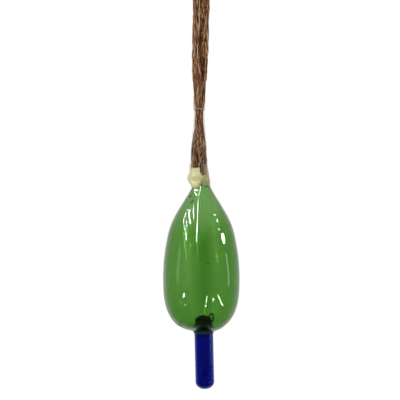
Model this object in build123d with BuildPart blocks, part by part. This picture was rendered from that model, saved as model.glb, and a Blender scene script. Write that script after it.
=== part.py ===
"""Float thermometer for a pond: a hollow blown-glass float that hangs from a doubled fibre cord and carries
a closed glass probe tube, with a small spirit thermometer inside the tube.

Millimetres, +Z up. The origin is the point where the hanging loop bears on its hook, so the whole object
hangs below it. The float is turned about the Z axis. The probe tube stands a little off that axis and leans
a little, as hand-blown ware does, and everything inside the tube shares its leaning axis.
"""

import math
import os

from build123d import *

os.makedirs("parts", exist_ok=True)

# ---- Cord: one length, folded double, the fold being the hanging loop ----
cord_dia = 5.8
hook_dia = 16.0
loop_length = 30.0  # hook's centre to the binding
loop_neck = 10.0  # straight start of each loop leg, above the binding
stretch_gap = 0.3  # between stretches of cord that bend against each other

# Centre lines of the two legs, from the binding down to their ends in the resin; heights are from the
# binding's lower side. The legs hang side by side, make half a turn about each other, and lie side by side
# again at the float.
LONG_LEG_UPPER = [(-3.1, 0.0, -0.3), (-3.1, 0.3, -18.5), (-3.7, 0.0, -37.0)]
LONG_LEG_LOWER = [
    (-3.7, 0.0, -37.4),
    (-4.0, -0.5, -49.5),
    (-3.5, -2.1, -62.0),
    (-3.1, -2.6, -74.5),
    (-2.2, -3.1, -87.0),
    (-1.1, -3.0, -99.5),
    (0.1, -2.4, -112.0),
    (1.0, -0.8, -124.5),
    (1.2, 0.0, -131.6),
    (1.2, 0.2, -138.8),
]
SHORT_LEG_UPPER = [(3.1, 0.0, -0.3), (2.9, -0.3, -18.5), (2.4, 0.0, -37.0)]
SHORT_LEG_LOWER = [
    (2.4, 0.0, -37.4),
    (2.0, 0.7, -49.5),
    (1.1, 2.1, -62.0),
    (0.3, 2.7, -74.5),
    (-1.0, 3.1, -87.0),
    (-2.3, 3.1, -99.5),
    (-3.9, 2.3, -112.0),
    (-5.0, 0.8, -124.5),
    (-5.1, 0.2, -131.6),
]

# ---- Twine bound round the two legs below the loop ----
twine_dia = 1.5
twine_gap = 0.05
binding_turns = 5

# ---- Clear sleeve round the lower cord, and the thread tied round its top ----
sleeve_length = 46.0
sleeve_flare_length = 5.0  # its lowest stretch, which widens to the resin
sleeve_radius = 4.25  # outside, at its rounded ends
sleeve_flat = 4.6  # between the middles of its rounded ends
sleeve_wall = 0.25
sleeve_flare = 0.8
sleeve_steps = 6
thread_dia = 0.5
thread_drop = 4.8  # below the sleeve's top
thread_clearance = 0.05

# ---- Resin that holds the cord ends in the float's neck ----
short_leg_cover = 2.6  # from the resin's top down to the short leg's end
resin_radius = 8.5
resin_widest_drop = 9.8
resin_foot_radius = 5.2
resin_height = 18.2
resin_offset = -2.1  # the blob sits to one side of the neck
resin_cover = 1.9  # from the long leg's end down to the neck's mouth
resin_plug_depth = 9.0

# ---- Float ----
float_height = 114.4
belly_radius = 28.7
belly_height = 36.0
neck_radius = 6.4
neck_length = 4.6
glass_wall = 1.8
rim_round = 0.5

# Float outline: shares of the radius and of the height between the base and the belly, and above the belly
BELOW_BELLY = [(0.60, 0.125), (0.90, 0.46)]
ABOVE_BELLY = [(0.982, 0.217), (0.892, 0.413), (0.713, 0.617), (0.484, 0.752), (0.233, 0.875), (0.076, 0.955)]

# ---- Probe tube ----
probe_dia = 14.0
probe_wall = 1.4
probe_exposed = 42.8
probe_inside = 6.5
probe_end_height = 5.5
probe_offset = 1.8
probe_lean = 1.3  # degrees
seal_clearance = 0.25
seal_bead = 1.7  # how far it spreads over the glass
seal_rise = 1.3  # how far it climbs the tube, outside and inside

# ---- Stopper and its pull ring, at the tube's upper end ----
stopper_plug = 6.0
stopper_clearance = 0.05
stopper_head_dia = 12.6
stopper_head_height = 3.0
stopper_crown = 3.2
ring_wire = 1.0
ring_width = 3.6
ring_height = 7.0
ring_reach = 6.1  # from the tube's axis to the ring's middle
ring_rise = 4.0  # from the tube's rim to the ring's middle

# ---- Inside the probe tube ----
shot_dia = 2.6
shot_gap = 0.04
shot_around = 6
shot_rise = 2.2  # from the tube's inner end to the shot's centres
pad_height = 2.0
pad_clearance = 0.1
stem_dia = 4.4
stem_bore = 0.6
stem_top_gap = 0.3  # below the stopper
reservoir_depth = 8.0
reservoir_wall = 0.5
reservoir_floor = 0.8
spirit_clearance = 0.02
column_clearance = 0.05
column_reading = 10.0  # from the reservoir to the spirit's level at rest
bore_headroom = 3.0
scale_width = 7.0
scale_thickness = 0.4
scale_gap = 0.3  # between the stem and the strip
scale_top_gap = 2.5
tick_width = 1.3
tick_height = 0.25
tick_thickness = 0.1
tick_pitch = 1.6
tick_count = 11
tick_start = 1.5  # from the lower collar to the lowest tick
collar_height = 2.4
collar_clearance = 0.1
collar_play = 0.05


# ---- Places that follow from the sizes above ----
cord_radius = cord_dia / 2
hook_z = -hook_dia / 2
loop_bend = hook_dia / 2 + cord_radius
leg_spread = SHORT_LEG_UPPER[0][0]
twine_pitch = twine_dia + twine_gap
binding_height = binding_turns * twine_pitch
binding_top_z = hook_z - loop_length
binding_base_z = binding_top_z - binding_height


def hung(route):
    """A leg's route at its place below the binding."""
    return [(x, y, z + binding_base_z) for x, y, z in route]


long_leg_route = hung(LONG_LEG_LOWER)
short_leg_route = hung(SHORT_LEG_LOWER)
resin_top_z = short_leg_route[-1][2] + short_leg_cover
mouth_z = long_leg_route[-1][2] - resin_cover
float_base_z = mouth_z - float_height

lean = math.radians(probe_lean)
up_the_probe = Vector(-math.sin(lean), 0, math.cos(lean))
across_the_probe = Vector(math.cos(lean), 0, math.sin(lean))
probe_base = Vector(probe_offset, 0, float_base_z)
probe_axis = Axis(probe_base, up_the_probe)
probe_floor = Plane(origin=probe_base, x_dir=across_the_probe, z_dir=up_the_probe)
probe_section = Plane(origin=probe_base, x_dir=across_the_probe, z_dir=(0, -1, 0))

# Heights along the probe's axis, from the float's base
probe_radius = probe_dia / 2
probe_bore_radius = probe_radius - probe_wall
inner_end = -probe_exposed + probe_wall
shot_height = inner_end + shot_rise
pad_bottom = shot_height + shot_dia / 2
stem_bottom = pad_bottom + pad_height
reservoir_bottom = stem_bottom + reservoir_floor
reservoir_top = reservoir_bottom + reservoir_depth
stopper_bottom = probe_inside - stopper_plug
stem_top = stopper_bottom - stem_top_gap
stem_radius = stem_dia / 2
bore_top = stem_top - bore_headroom
scale_bottom = reservoir_top
scale_top = stem_top - scale_top_gap
scale_back = stem_radius + scale_gap
lower_collar = scale_bottom
upper_collar = scale_top - collar_height


def arc_radii(points):
    """The largest arc at each corner of a route: 0.45 of the shorter run over the tangent of half the turn."""
    radii = []
    for before, corner, after in zip(points, points[1:], points[2:]):
        run_in = Vector(*corner) - Vector(*before)
        run_out = Vector(*after) - Vector(*corner)
        half_turn = math.radians(run_in.get_angle(run_out)) / 2
        radii.append(0.45 * min(run_in.length, run_out.length) / math.tan(half_turn))
    return radii


def report_cord(name, part, path, radii):
    """Prints a cord's bends and length, and its volume against its section times its length."""
    section = math.pi * cord_radius**2
    bends = ", ".join(f"{radius:.0f}" for radius in radii)
    print(f"{name}: {path.length:.1f} mm long, volume ratio {part.volume / (section * path.length):.4f}")
    print(f"{name}: arc radii {bends} mm")


def save(part, name):
    part.label = name
    export_step(part, f"parts/{name}.step")


def cord_leg(name, route):
    """One leg's tube, of straight runs joined by tangent arcs."""
    radii = arc_radii(route)
    with BuildPart() as leg:
        with BuildLine() as leg_line:
            FilletPolyline(*route, radius=radii)
        path = leg_line.wires()[0]
        with BuildSketch(Plane(origin=path @ 0, z_dir=path % 0)):
            Circle(cord_radius)
        sweep(path=path)
    report_cord(name, leg.part, path, radii)
    save(leg.part, name)
    return leg.part


def point_at(route, z):
    """The x and y of a leg's route at a height."""
    for upper, lower in zip(route, route[1:]):
        if lower[2] <= z:
            break
    share = min(1.0, (upper[2] - z) / (upper[2] - lower[2]))
    return tuple(start + (end - start) * share for start, end in zip(upper[:2], lower[:2]))


def legs_at(z):
    """The middle of the two legs at a height, and the direction from the short leg to the long one."""
    long_x, long_y = point_at(long_leg_route, z)
    short_x, short_y = point_at(short_leg_route, z)
    middle = ((long_x + short_x) / 2, (long_y + short_y) / 2)
    return middle, math.degrees(math.atan2(long_y - short_y, long_x - short_x))


# ---- Hanging loop: up from the binding, round the hook and down again ----
leg_start = (-leg_spread, binding_top_z + stretch_gap)
leg_corner = (-leg_spread, binding_top_z + loop_neck)
corner_to_hook = math.hypot(leg_corner[0], hook_z - leg_corner[1])
leg_lean = math.asin(loop_bend / corner_to_hook) + math.atan2(leg_corner[0], hook_z - leg_corner[1])
bend_start = (-loop_bend * math.cos(leg_lean), hook_z - loop_bend * math.sin(leg_lean))
left_side = [leg_start, leg_corner, bend_start]
right_side = [(-x, z) for x, z in reversed(left_side)]
corner_radii = arc_radii([(x, 0, z) for x, z in left_side])

with BuildPart() as hang_loop:
    with BuildLine(Plane.XZ) as loop_line:
        FilletPolyline(*left_side, radius=corner_radii)
        ThreePointArc(bend_start, (0, hook_z + loop_bend), right_side[0])
        FilletPolyline(*right_side, radius=corner_radii)
    loop_path = loop_line.wires()[0]
    with BuildSketch(Plane(origin=loop_path @ 0, z_dir=loop_path % 0)):
        Circle(cord_radius)
    sweep(path=loop_path)
report_cord("hang_loop", hang_loop.part, loop_path, corner_radii + [loop_bend])
save(hang_loop.part, "hang_loop")

# ---- The stretch of cord inside the binding, and the binding's turns of twine ----
with BuildPart() as bound_cord:
    with BuildSketch(Plane.XY.offset(binding_base_z)):
        with Locations((-leg_spread, 0), (leg_spread, 0)):
            Circle(cord_radius)
    extrude(amount=binding_height)
save(bound_cord.part, "bound_cord")

with BuildPart() as twine_binding:
    turn_width = cord_dia + 2 * twine_gap + twine_dia
    for turn in range(binding_turns):
        turn_z = binding_base_z + (turn + 0.5) * twine_pitch
        with BuildSketch(Plane.XY.offset(turn_z), mode=Mode.PRIVATE) as turn_outline:
            SlotCenterToCenter(2 * leg_spread, turn_width)
        turn_path = turn_outline.sketch.wires()[0]
        with BuildSketch(Plane(origin=turn_path @ 0, z_dir=turn_path % 0)):
            Circle(twine_dia / 2)
        sweep(path=turn_path)
save(twine_binding.part, "twine_binding")

# ---- Legs of the cord: the stretch that hangs, and the stretch that turns down to the float ----
cord_leg("long_leg_upper", hung(LONG_LEG_UPPER))
cord_leg("short_leg_upper", hung(SHORT_LEG_UPPER))
long_leg = cord_leg("long_leg_lower", long_leg_route)
short_leg = cord_leg("short_leg_lower", short_leg_route)

# ---- Clear sleeve, which follows the turn of the legs inside it ----
sleeve_top_z = resin_top_z + sleeve_length
sleeve_straight = sleeve_length - sleeve_flare_length
sleeve_heights = [sleeve_top_z - sleeve_straight * step / sleeve_steps for step in range(sleeve_steps + 1)]


def sleeve_form(inset):
    """The flat-sided form round the legs, lofted from the sleeve's top to its flared foot on the resin."""
    with BuildPart() as form:
        for z in sleeve_heights + [resin_top_z]:
            end_radius = sleeve_radius - inset + (sleeve_flare if z == resin_top_z else 0)
            middle, angle = legs_at(z)
            with BuildSketch(Plane.XY.offset(z)):
                with Locations(middle):
                    SlotCenterToCenter(sleeve_flat, 2 * end_radius, rotation=angle)
        loft()
    return form.part


with BuildPart() as clear_sleeve:
    add(sleeve_form(0))
    add(sleeve_form(sleeve_wall), mode=Mode.SUBTRACT)
save(clear_sleeve.part, "clear_sleeve")

# ---- Thread tied round the sleeve's top ----
with BuildPart() as tie_thread:
    thread_z = sleeve_top_z - thread_drop
    thread_middle, thread_angle = legs_at(thread_z)
    thread_stand = sleeve_radius + thread_clearance + thread_dia / 2
    with BuildSketch(Plane.XY.offset(thread_z), mode=Mode.PRIVATE) as thread_outline:
        with Locations(thread_middle):
            SlotCenterToCenter(sleeve_flat, 2 * thread_stand, rotation=thread_angle)
    thread_path = thread_outline.sketch.wires()[0]
    with BuildSketch(Plane(origin=thread_path @ 0, z_dir=thread_path % 0)):
        Circle(thread_dia / 2)
    sweep(path=thread_path)
save(tie_thread.part, "tie_thread")


# ---- Float: blown glass, open at the neck and holed at the base for the probe tube ----
def float_form(inset):
    """The float's form turned about Z: its outside at inset 0, the air space inside at the wall's thickness."""
    belly = belly_radius - inset
    neck = neck_radius - inset
    base = float_base_z + inset
    widest = float_base_z + belly_height
    shoulder = mouth_z - neck_length
    low = [(belly * r, base + (widest - base) * h) for r, h in BELOW_BELLY]
    high = [(neck + (belly - neck) * r, widest + (shoulder - widest) * h) for r, h in ABOVE_BELLY]
    with BuildPart() as form:
        with BuildSketch(Plane.XZ):
            with BuildLine():
                Spline(
                    (0, base),
                    *low,
                    (belly, widest),
                    *high,
                    (neck, shoulder),
                    tangents=[(1, 0), (0, 1)],
                    tangent_scalars=[1, 0.1],
                )
                Polyline((neck, shoulder), (neck, mouth_z), (0, mouth_z), (0, base))
            make_face()
        revolve(axis=Axis.Z)
    return form.part


with BuildPart() as float_bulb:
    add(float_form(0))
    add(float_form(glass_wall), mode=Mode.SUBTRACT)
    with BuildSketch(probe_floor.offset(-probe_radius)):
        Circle(probe_radius + seal_clearance)
    extrude(amount=2 * probe_radius, mode=Mode.SUBTRACT)
    fillet(float_bulb.faces().sort_by(Axis.Z)[-1].edges(), rim_round)
save(float_bulb.part, "float_bulb")

# ---- Resin: the blob on the neck and the plug inside it, cast round the cord ends ----
resin_top_radius = sleeve_flat / 2 + sleeve_radius + sleeve_flare
resin_top_edge = (resin_offset + resin_top_radius, resin_top_z)
resin_widest = (resin_offset + resin_radius, resin_top_z - resin_widest_drop)
resin_foot = (resin_offset + resin_foot_radius, resin_top_z - resin_height)

with BuildPart() as neck_resin:
    with BuildSketch(Plane.XZ):
        with BuildLine():
            Spline(resin_top_edge, resin_widest, resin_foot)
            Polyline(resin_foot, (resin_offset, resin_foot[1]), (resin_offset, resin_top_z), resin_top_edge)
        make_face()
    revolve(axis=Axis((resin_offset, 0, 0), (0, 0, 1)))
    with BuildSketch(Plane.XY.offset(mouth_z - resin_plug_depth)):
        Circle(neck_radius - glass_wall)
    extrude(amount=resin_plug_depth)
    add(float_bulb.part, mode=Mode.SUBTRACT)
    add(long_leg, mode=Mode.SUBTRACT)
    add(short_leg, mode=Mode.SUBTRACT)
save(neck_resin.part, "neck_resin")


# ---- Probe tube: closed at the lower end, open inside the float ----
def round_ended_rod(radius, low_end, end_height):
    """A rod on the probe's axis, from its rounded lower end up to the tube's rim."""
    with BuildPart() as rod:
        with BuildSketch(probe_section):
            with BuildLine():
                EllipticalCenterArc((0, low_end + end_height), radius, end_height, 270, arc_size=90)
                Polyline(
                    (radius, low_end + end_height),
                    (radius, probe_inside),
                    (0, probe_inside),
                    (0, low_end),
                )
            make_face()
        revolve(axis=probe_axis)
    return rod.part


with BuildPart() as probe_tube:
    add(round_ended_rod(probe_radius, -probe_exposed, probe_end_height))
    add(
        round_ended_rod(probe_bore_radius, inner_end, probe_end_height - probe_wall),
        mode=Mode.SUBTRACT,
    )
save(probe_tube.part, "probe_tube")

# ---- Seal between the tube and the float's base ----
with BuildPart() as bottom_seal:
    with BuildSketch(probe_section):
        with BuildLine():
            Polyline(
                (probe_radius, -seal_rise),
                (probe_radius + seal_bead, glass_wall),
                (probe_radius, 2 * glass_wall + seal_rise),
                close=True,
            )
        make_face()
    revolve(axis=probe_axis)
    add(float_bulb.part, mode=Mode.SUBTRACT)
save(bottom_seal.part, "bottom_seal")

# ---- Stopper in the tube's open end, with a wire ring moulded into its head ----
ring_middle = (ring_reach, probe_inside + ring_rise)

with BuildPart() as pull_ring:
    with BuildSketch(probe_section, mode=Mode.PRIVATE) as ring_outline:
        with Locations(ring_middle):
            SlotOverall(ring_height - ring_wire, ring_width - ring_wire, rotation=90)
    ring_path = ring_outline.sketch.wires()[0]
    with BuildSketch(Plane(origin=ring_path @ 0, z_dir=ring_path % 0)):
        Circle(ring_wire / 2)
    sweep(path=ring_path)
save(pull_ring.part, "pull_ring")

plug_radius = probe_bore_radius - stopper_clearance
head_radius = stopper_head_dia / 2
head_edge = probe_inside + stopper_head_height
crown_radius = (head_radius**2 + stopper_crown**2) / (2 * stopper_crown)

with BuildPart() as stopper:
    with BuildSketch(probe_section):
        with BuildLine():
            Polyline(
                (0, head_edge + stopper_crown),
                (0, stopper_bottom),
                (plug_radius, stopper_bottom),
                (plug_radius, probe_inside),
                (head_radius, probe_inside),
                (head_radius, head_edge),
            )
            RadiusArc((head_radius, head_edge), (0, head_edge + stopper_crown), -crown_radius)
        make_face()
    revolve(axis=probe_axis)
    add(pull_ring.part, mode=Mode.SUBTRACT)
save(stopper.part, "stopper")

# ---- Ballast: round shot in the tube's lower end, under a soft pad ----
with BuildPart(probe_floor.offset(shot_height)) as ballast_shot:
    Sphere(shot_dia / 2)
    with PolarLocations(shot_dia + shot_gap, shot_around):
        Sphere(shot_dia / 2)
save(ballast_shot.part, "ballast_shot")

with BuildPart() as reservoir_pad:
    with BuildSketch(probe_floor.offset(pad_bottom)):
        Circle(probe_bore_radius - pad_clearance)
    extrude(amount=pad_height)
save(reservoir_pad.part, "reservoir_pad")

# ---- Thermometer: glass stem with its reservoir, the spirit in it, and the spirit's column ----
with BuildPart() as thermometer_stem:
    with BuildSketch(probe_floor.offset(stem_bottom)):
        Circle(stem_radius)
    extrude(amount=stem_top - stem_bottom)
    with BuildSketch(probe_floor.offset(reservoir_bottom)):
        Circle(stem_radius - reservoir_wall)
    extrude(amount=reservoir_depth, mode=Mode.SUBTRACT)
    with BuildSketch(probe_floor.offset(reservoir_top)):
        Circle(stem_bore / 2)
    extrude(amount=bore_top - reservoir_top, mode=Mode.SUBTRACT)
save(thermometer_stem.part, "thermometer_stem")

with BuildPart() as spirit_reservoir:
    with BuildSketch(probe_floor.offset(reservoir_bottom)):
        Circle(stem_radius - reservoir_wall - spirit_clearance)
    extrude(amount=reservoir_depth)
save(spirit_reservoir.part, "spirit_reservoir")

with BuildPart() as spirit_column:
    with BuildSketch(probe_floor.offset(reservoir_top)):
        Circle(stem_bore / 2 - column_clearance)
    extrude(amount=column_reading)
save(spirit_column.part, "spirit_column")

# ---- Scale strip behind the stem, its marks, and the collars that centre both in the tube ----
strip_middle = scale_back + scale_thickness / 2

with BuildPart() as scale_strip:
    with BuildSketch(probe_floor.offset(scale_bottom)):
        with Locations((0, strip_middle)):
            Rectangle(scale_width, scale_thickness)
    extrude(amount=scale_top - scale_bottom)
save(scale_strip.part, "scale_strip")

with BuildPart() as scale_marks:
    tick_side = (scale_width - tick_width) / 2
    for tick in range(tick_count):
        tick_base = lower_collar + collar_height + tick_start + tick * tick_pitch
        with BuildSketch(probe_floor.offset(tick_base - tick_height / 2)):
            with Locations((-tick_side, scale_back), (tick_side, scale_back)):
                Rectangle(tick_width, tick_thickness, align=(Align.CENTER, Align.MAX))
        extrude(amount=tick_height)
save(scale_marks.part, "scale_marks")


def collar(name, height):
    """A disc that fills the tube round the stem and the strip."""
    with BuildPart() as disc:
        with BuildSketch(probe_floor.offset(height)):
            Circle(probe_bore_radius - collar_clearance)
            Circle(stem_radius + collar_play, mode=Mode.SUBTRACT)
            with Locations((0, strip_middle)):
                Rectangle(scale_width + 2 * collar_play, scale_thickness + 2 * collar_play, mode=Mode.SUBTRACT)
        extrude(amount=collar_height)
    save(disc.part, name)


collar("lower_collar", lower_collar)
collar("upper_collar", upper_collar)
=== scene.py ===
"""Dresses the hanging glass thermometer.

It has a blown green float, a cobalt probe tube, resin, a film sleeve and a doubled fibrous cord.
Objects are in metres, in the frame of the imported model. Tables and meshes are worked out in
millimetres, unless they say otherwise."""

import math
import random

import bpy
import numpy as np
from mathutils import Matrix, Vector, noise
from mathutils.bvhtree import BVHTree


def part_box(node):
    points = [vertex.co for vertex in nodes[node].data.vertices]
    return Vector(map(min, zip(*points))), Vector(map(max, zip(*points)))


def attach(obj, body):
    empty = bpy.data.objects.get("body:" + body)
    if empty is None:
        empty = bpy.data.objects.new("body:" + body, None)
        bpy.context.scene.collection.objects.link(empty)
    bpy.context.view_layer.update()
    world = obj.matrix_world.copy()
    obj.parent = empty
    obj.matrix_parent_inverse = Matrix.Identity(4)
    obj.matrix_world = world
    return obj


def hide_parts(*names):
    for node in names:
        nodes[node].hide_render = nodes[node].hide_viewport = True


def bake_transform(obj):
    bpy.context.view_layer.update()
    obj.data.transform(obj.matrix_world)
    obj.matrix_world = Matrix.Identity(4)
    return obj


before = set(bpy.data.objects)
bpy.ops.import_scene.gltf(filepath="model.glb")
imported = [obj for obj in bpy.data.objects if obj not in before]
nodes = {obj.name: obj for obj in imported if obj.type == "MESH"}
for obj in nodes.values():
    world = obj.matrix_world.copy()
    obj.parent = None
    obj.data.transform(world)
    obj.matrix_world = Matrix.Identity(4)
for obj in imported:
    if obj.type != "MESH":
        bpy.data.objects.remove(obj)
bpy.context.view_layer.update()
MM = 0.001

# ---- Camera: level, far off with a long lens, so the view is nearly flat (metres) ----
VIEW_WIDTH = 0.300
VIEW_CENTRE = Vector((-0.00100, 0.0, -0.20185))
CAMERA_DISTANCE = 2.4
SENSOR_WIDTH = 36.0


def linked(name, data):
    """A new object for some data, in the scene."""
    made = bpy.data.objects.new(name, data)
    bpy.context.scene.collection.objects.link(made)
    return made


camera_data = bpy.data.cameras.new("camera")
camera_data.sensor_width = SENSOR_WIDTH
camera_data.lens = SENSOR_WIDTH * CAMERA_DISTANCE / VIEW_WIDTH
camera_data.clip_start = 0.1
camera_data.clip_end = 20.0
camera = linked("camera", camera_data)
camera.location = VIEW_CENTRE - Vector((0.0, CAMERA_DISTANCE, 0.0))
camera.rotation_euler = (math.radians(90.0), 0.0, 0.0)
bpy.context.scene.camera = camera
bpy.context.scene.view_settings.view_transform = "Standard"

# ---- Routes of the cord: the solids' routes, with each leg's two stretches as one ----
CORD_RADIUS = 2.9
BINDING_TOP = -38.0
BINDING_BASE = -45.75
SEAM = -82.95  # where each leg's upper and lower stretches meet
LONG_LEG = [
    (-3.1, 0.0, -0.3),
    (-3.1, 0.3, -18.5),
    (-3.7, 0.0, -37.2),
    (-4.0, -0.5, -49.5),
    (-3.5, -2.1, -62.0),
    (-3.1, -2.6, -74.5),
    (-2.2, -3.1, -87.0),
    (-1.1, -3.0, -99.5),
    (0.1, -2.4, -112.0),
    (1.0, -0.8, -124.5),
    (1.2, 0.0, -131.6),
    (1.2, 0.2, -138.8),
]
SHORT_LEG = [
    (3.1, 0.0, -0.3),
    (2.9, -0.3, -18.5),
    (2.4, 0.0, -37.2),
    (2.0, 0.7, -49.5),
    (1.1, 2.1, -62.0),
    (0.3, 2.7, -74.5),
    (-1.0, 3.1, -87.0),
    (-2.3, 3.1, -99.5),
    (-3.9, 2.3, -112.0),
    (-5.0, 0.8, -124.5),
    (-5.1, 0.2, -131.6),
]
# The fold round the hook: up from the binding, then the corners of a polygon about the hook
HOOK_Z = -8.0
FOLD_RADIUS = 10.9
FOLD_STEP = 45.5  # degrees from one corner to the next
fold_reach = FOLD_RADIUS / math.cos(math.radians(FOLD_STEP / 2))
FOLD = [(-3.1, 0.0, -37.7), (-3.1, 0.0, -32.0), (-3.3, 0.0, -27.5)]
for corner in (2, 1, 0, -1, -2):
    turn = math.radians(90.0 + FOLD_STEP * corner)
    FOLD.append((fold_reach * math.cos(turn), 0.0, HOOK_Z + fold_reach * math.sin(turn)))
FOLD += [(3.3, 0.0, -27.5), (3.1, 0.0, -32.0), (3.1, 0.0, -37.7)]


def nurbs_line(points):
    """The smooth line of a NURBS spline with these control points, as an array."""
    data = bpy.data.curves.new("route", "CURVE")
    data.dimensions = "3D"
    data.resolution_u = 24
    spline = data.splines.new("NURBS")
    spline.points.add(len(points) - 1)
    for control, (x, y, z) in zip(spline.points, points):
        control.co = (x * MM, y * MM, z * MM, 1.0)
    spline.order_u = 3
    spline.use_endpoint_u = True
    carrier = linked("route", data)
    mesh = bpy.data.meshes.new_from_object(carrier)
    line = np.array([v.co for v in mesh.vertices]) / MM
    bpy.data.objects.remove(carrier)
    bpy.data.curves.remove(data)
    bpy.data.meshes.remove(mesh)
    return line


def resampled(line, step):
    """The line at an even step, with the distance along it of each point."""
    runs = np.linalg.norm(np.diff(line, axis=0), axis=1)
    along = np.concatenate([[0.0], np.cumsum(runs)])
    count = max(2, int(round(along[-1] / step)) + 1)
    places = np.linspace(0.0, along[-1], count)
    return np.stack([np.interp(places, along, line[:, k]) for k in range(3)], axis=1), places


def side_frames(line):
    """Tangents and two side directions along a line, turning as little as they can."""
    tangents = np.gradient(line, axis=0)
    tangents /= np.linalg.norm(tangents, axis=1)[:, None]
    side = np.cross(tangents[0], (0.0, 1.0, 0.0))
    if np.linalg.norm(side) < 0.1:
        side = np.cross(tangents[0], (1.0, 0.0, 0.0))
    sides = []
    for tangent in tangents:
        side = side - tangent * np.dot(side, tangent)
        side = side / np.linalg.norm(side)
        sides.append(side)
    sides = np.array(sides)
    return tangents, sides, np.cross(tangents, sides)


def round_turns(sides):
    """The cosine and sine of each even step round a circle."""
    turns = [2 * math.pi * k / sides for k in range(sides)]
    return [(math.cos(turn), math.sin(turn)) for turn in turns]


def eased(distance, width):
    """0 up to distance 0, rising evenly to 1 over the width."""
    return min(1.0, max(0.0, distance / width))


def ring_faces(count, sides, closed):
    """Quads from each ring of points to the next, with both ends capped if closed."""
    faces = []
    for k in range(count - 1):
        here, there = k * sides, (k + 1) * sides
        for j in range(sides):
            nxt = (j + 1) % sides
            faces.append((here + j, here + nxt, there + nxt, there + j))
    if closed:
        faces.append(tuple(reversed(range(sides))))
        faces.append(tuple((count - 1) * sides + j for j in range(sides)))
    return faces


class Build:
    """Gathers tubes and surfaces of quads into one mesh, with a shade for each point."""

    def __init__(self):
        self.points = []
        self.faces = []
        self.shades = []

    def add(self, points, faces, shades):
        base = len(self.points)
        self.points.extend(points)
        self.faces.extend([tuple(base + k for k in face) for face in faces])
        self.shades.extend(shades)

    def tube(self, line, radii, sides, shade):
        """A closed tube along a line, with a radius and a shade for each of its points."""
        line = np.asarray(line)
        _, first, second = side_frames(line)
        turns = np.linspace(0.0, 2 * math.pi, sides, endpoint=False)[None, :, None]
        ring = np.cos(turns) * first[:, None, :] + np.sin(turns) * second[:, None, :]
        grid = line[:, None, :] + ring * np.asarray(radii)[:, None, None]
        shades = np.repeat(np.broadcast_to(shade, len(line)), sides).tolist()
        self.add(grid.reshape(-1, 3).tolist(), ring_faces(len(line), sides, True), shades)

    def rings(self, grid, shade=0.5, closed=True, flip=False):
        """A surface through rings of points, its first and last ring capped if closed."""
        count, sides = len(grid), len(grid[0])
        faces = ring_faces(count, sides, closed)
        if flip:
            faces = [tuple(reversed(face)) for face in faces]
        self.add([list(p) for ring in grid for p in ring], faces, [shade] * (count * sides))

    def piece(self, name, dressing):
        """The mesh as an object, with its material."""
        mesh = bpy.data.meshes.new(name)
        mesh.from_pydata([(x * MM, y * MM, z * MM) for x, y, z in self.points], [], self.faces)
        attribute = mesh.attributes.new("shade", "FLOAT", "POINT")
        attribute.data.foreach_set("value", self.shades)
        mesh.polygons.foreach_set("use_smooth", [True] * len(mesh.polygons))
        mesh.materials.append(dressing)
        mesh.validate()
        mesh.update()
        made = linked(name, mesh)
        return made


# ---- Materials ----
def material(name):
    """A new node material with its tree and shader."""
    made = bpy.data.materials.new(name)
    made.use_nodes = True
    return made, made.node_tree, made.node_tree.nodes["Principled BSDF"]


def node(tree, kind, **settings):
    made = tree.nodes.new(kind)
    for key, value in settings.items():
        setattr(made, key, value)
    return made


def feed(tree, value, socket):
    """Gives a socket its value: another socket, a number or a colour."""
    if isinstance(value, bpy.types.NodeSocket):
        tree.links.new(value, socket)
    else:
        socket.default_value = (*value, 1.0) if isinstance(value, tuple) else value


def object_noise(tree, scale, stretch=(1.0, 1.0, 1.0), detail=4.0, roughness=0.55):
    """Noise in the object's own space; stretch under 1 lengthens it along that axis."""
    where = node(tree, "ShaderNodeTexCoord")
    mapping = node(tree, "ShaderNodeMapping")
    mapping.inputs["Scale"].default_value = stretch
    tree.links.new(where.outputs["Object"], mapping.inputs["Vector"])
    texture = node(tree, "ShaderNodeTexNoise")
    texture.inputs["Scale"].default_value = scale
    texture.inputs["Detail"].default_value = detail
    texture.inputs["Roughness"].default_value = roughness
    tree.links.new(mapping.outputs["Vector"], texture.inputs["Vector"])
    return texture.outputs["Fac"]


def ramp(tree, factor, stops):
    """A colour ramp from (place, colour) stops."""
    made = node(tree, "ShaderNodeValToRGB")
    band = made.color_ramp
    while len(band.elements) < len(stops):
        band.elements.new(0.5)
    for element, (place, colour) in zip(band.elements, stops):
        element.position = place
        element.color = (*colour, 1.0)
    tree.links.new(factor, made.inputs["Fac"])
    return made.outputs["Color"]


def mixed(tree, factor, first, second, blend="MIX"):
    """A colour mix; a plain colour may stand for either input."""
    made = node(tree, "ShaderNodeMix", data_type="RGBA", blend_type=blend)
    for value, socket in zip((factor, first, second), (0, 6, 7)):
        feed(tree, value, made.inputs[socket])
    return made.outputs[2]


def maths(tree, operation, *values, clamp=False):
    """A math node's result; each value is a number or a socket."""
    made = node(tree, "ShaderNodeMath", operation=operation, use_clamp=clamp)
    for value, socket in zip(values, made.inputs):
        feed(tree, value, socket)
    return made.outputs[0]


def shader_mix(tree, factor, first, second):
    """The first shader's output where the factor is 0, and the second's where it is 1."""
    made = node(tree, "ShaderNodeMixShader")
    for output, socket in zip((factor, first, second), made.inputs):
        tree.links.new(output, socket)
    return made.outputs[0]


def bumped(tree, shader, height, strength, distance):
    made = node(tree, "ShaderNodeBump")
    made.inputs["Strength"].default_value = strength
    made.inputs["Distance"].default_value = distance
    tree.links.new(height, made.inputs["Height"])
    tree.links.new(made.outputs["Normal"], shader.inputs["Normal"])


def turned_away(tree):
    """0 where a surface faces the viewer and 1 at its rim."""
    made = node(tree, "ShaderNodeLayerWeight")
    made.inputs["Blend"].default_value = 0.5
    return made.outputs["Facing"]


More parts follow.
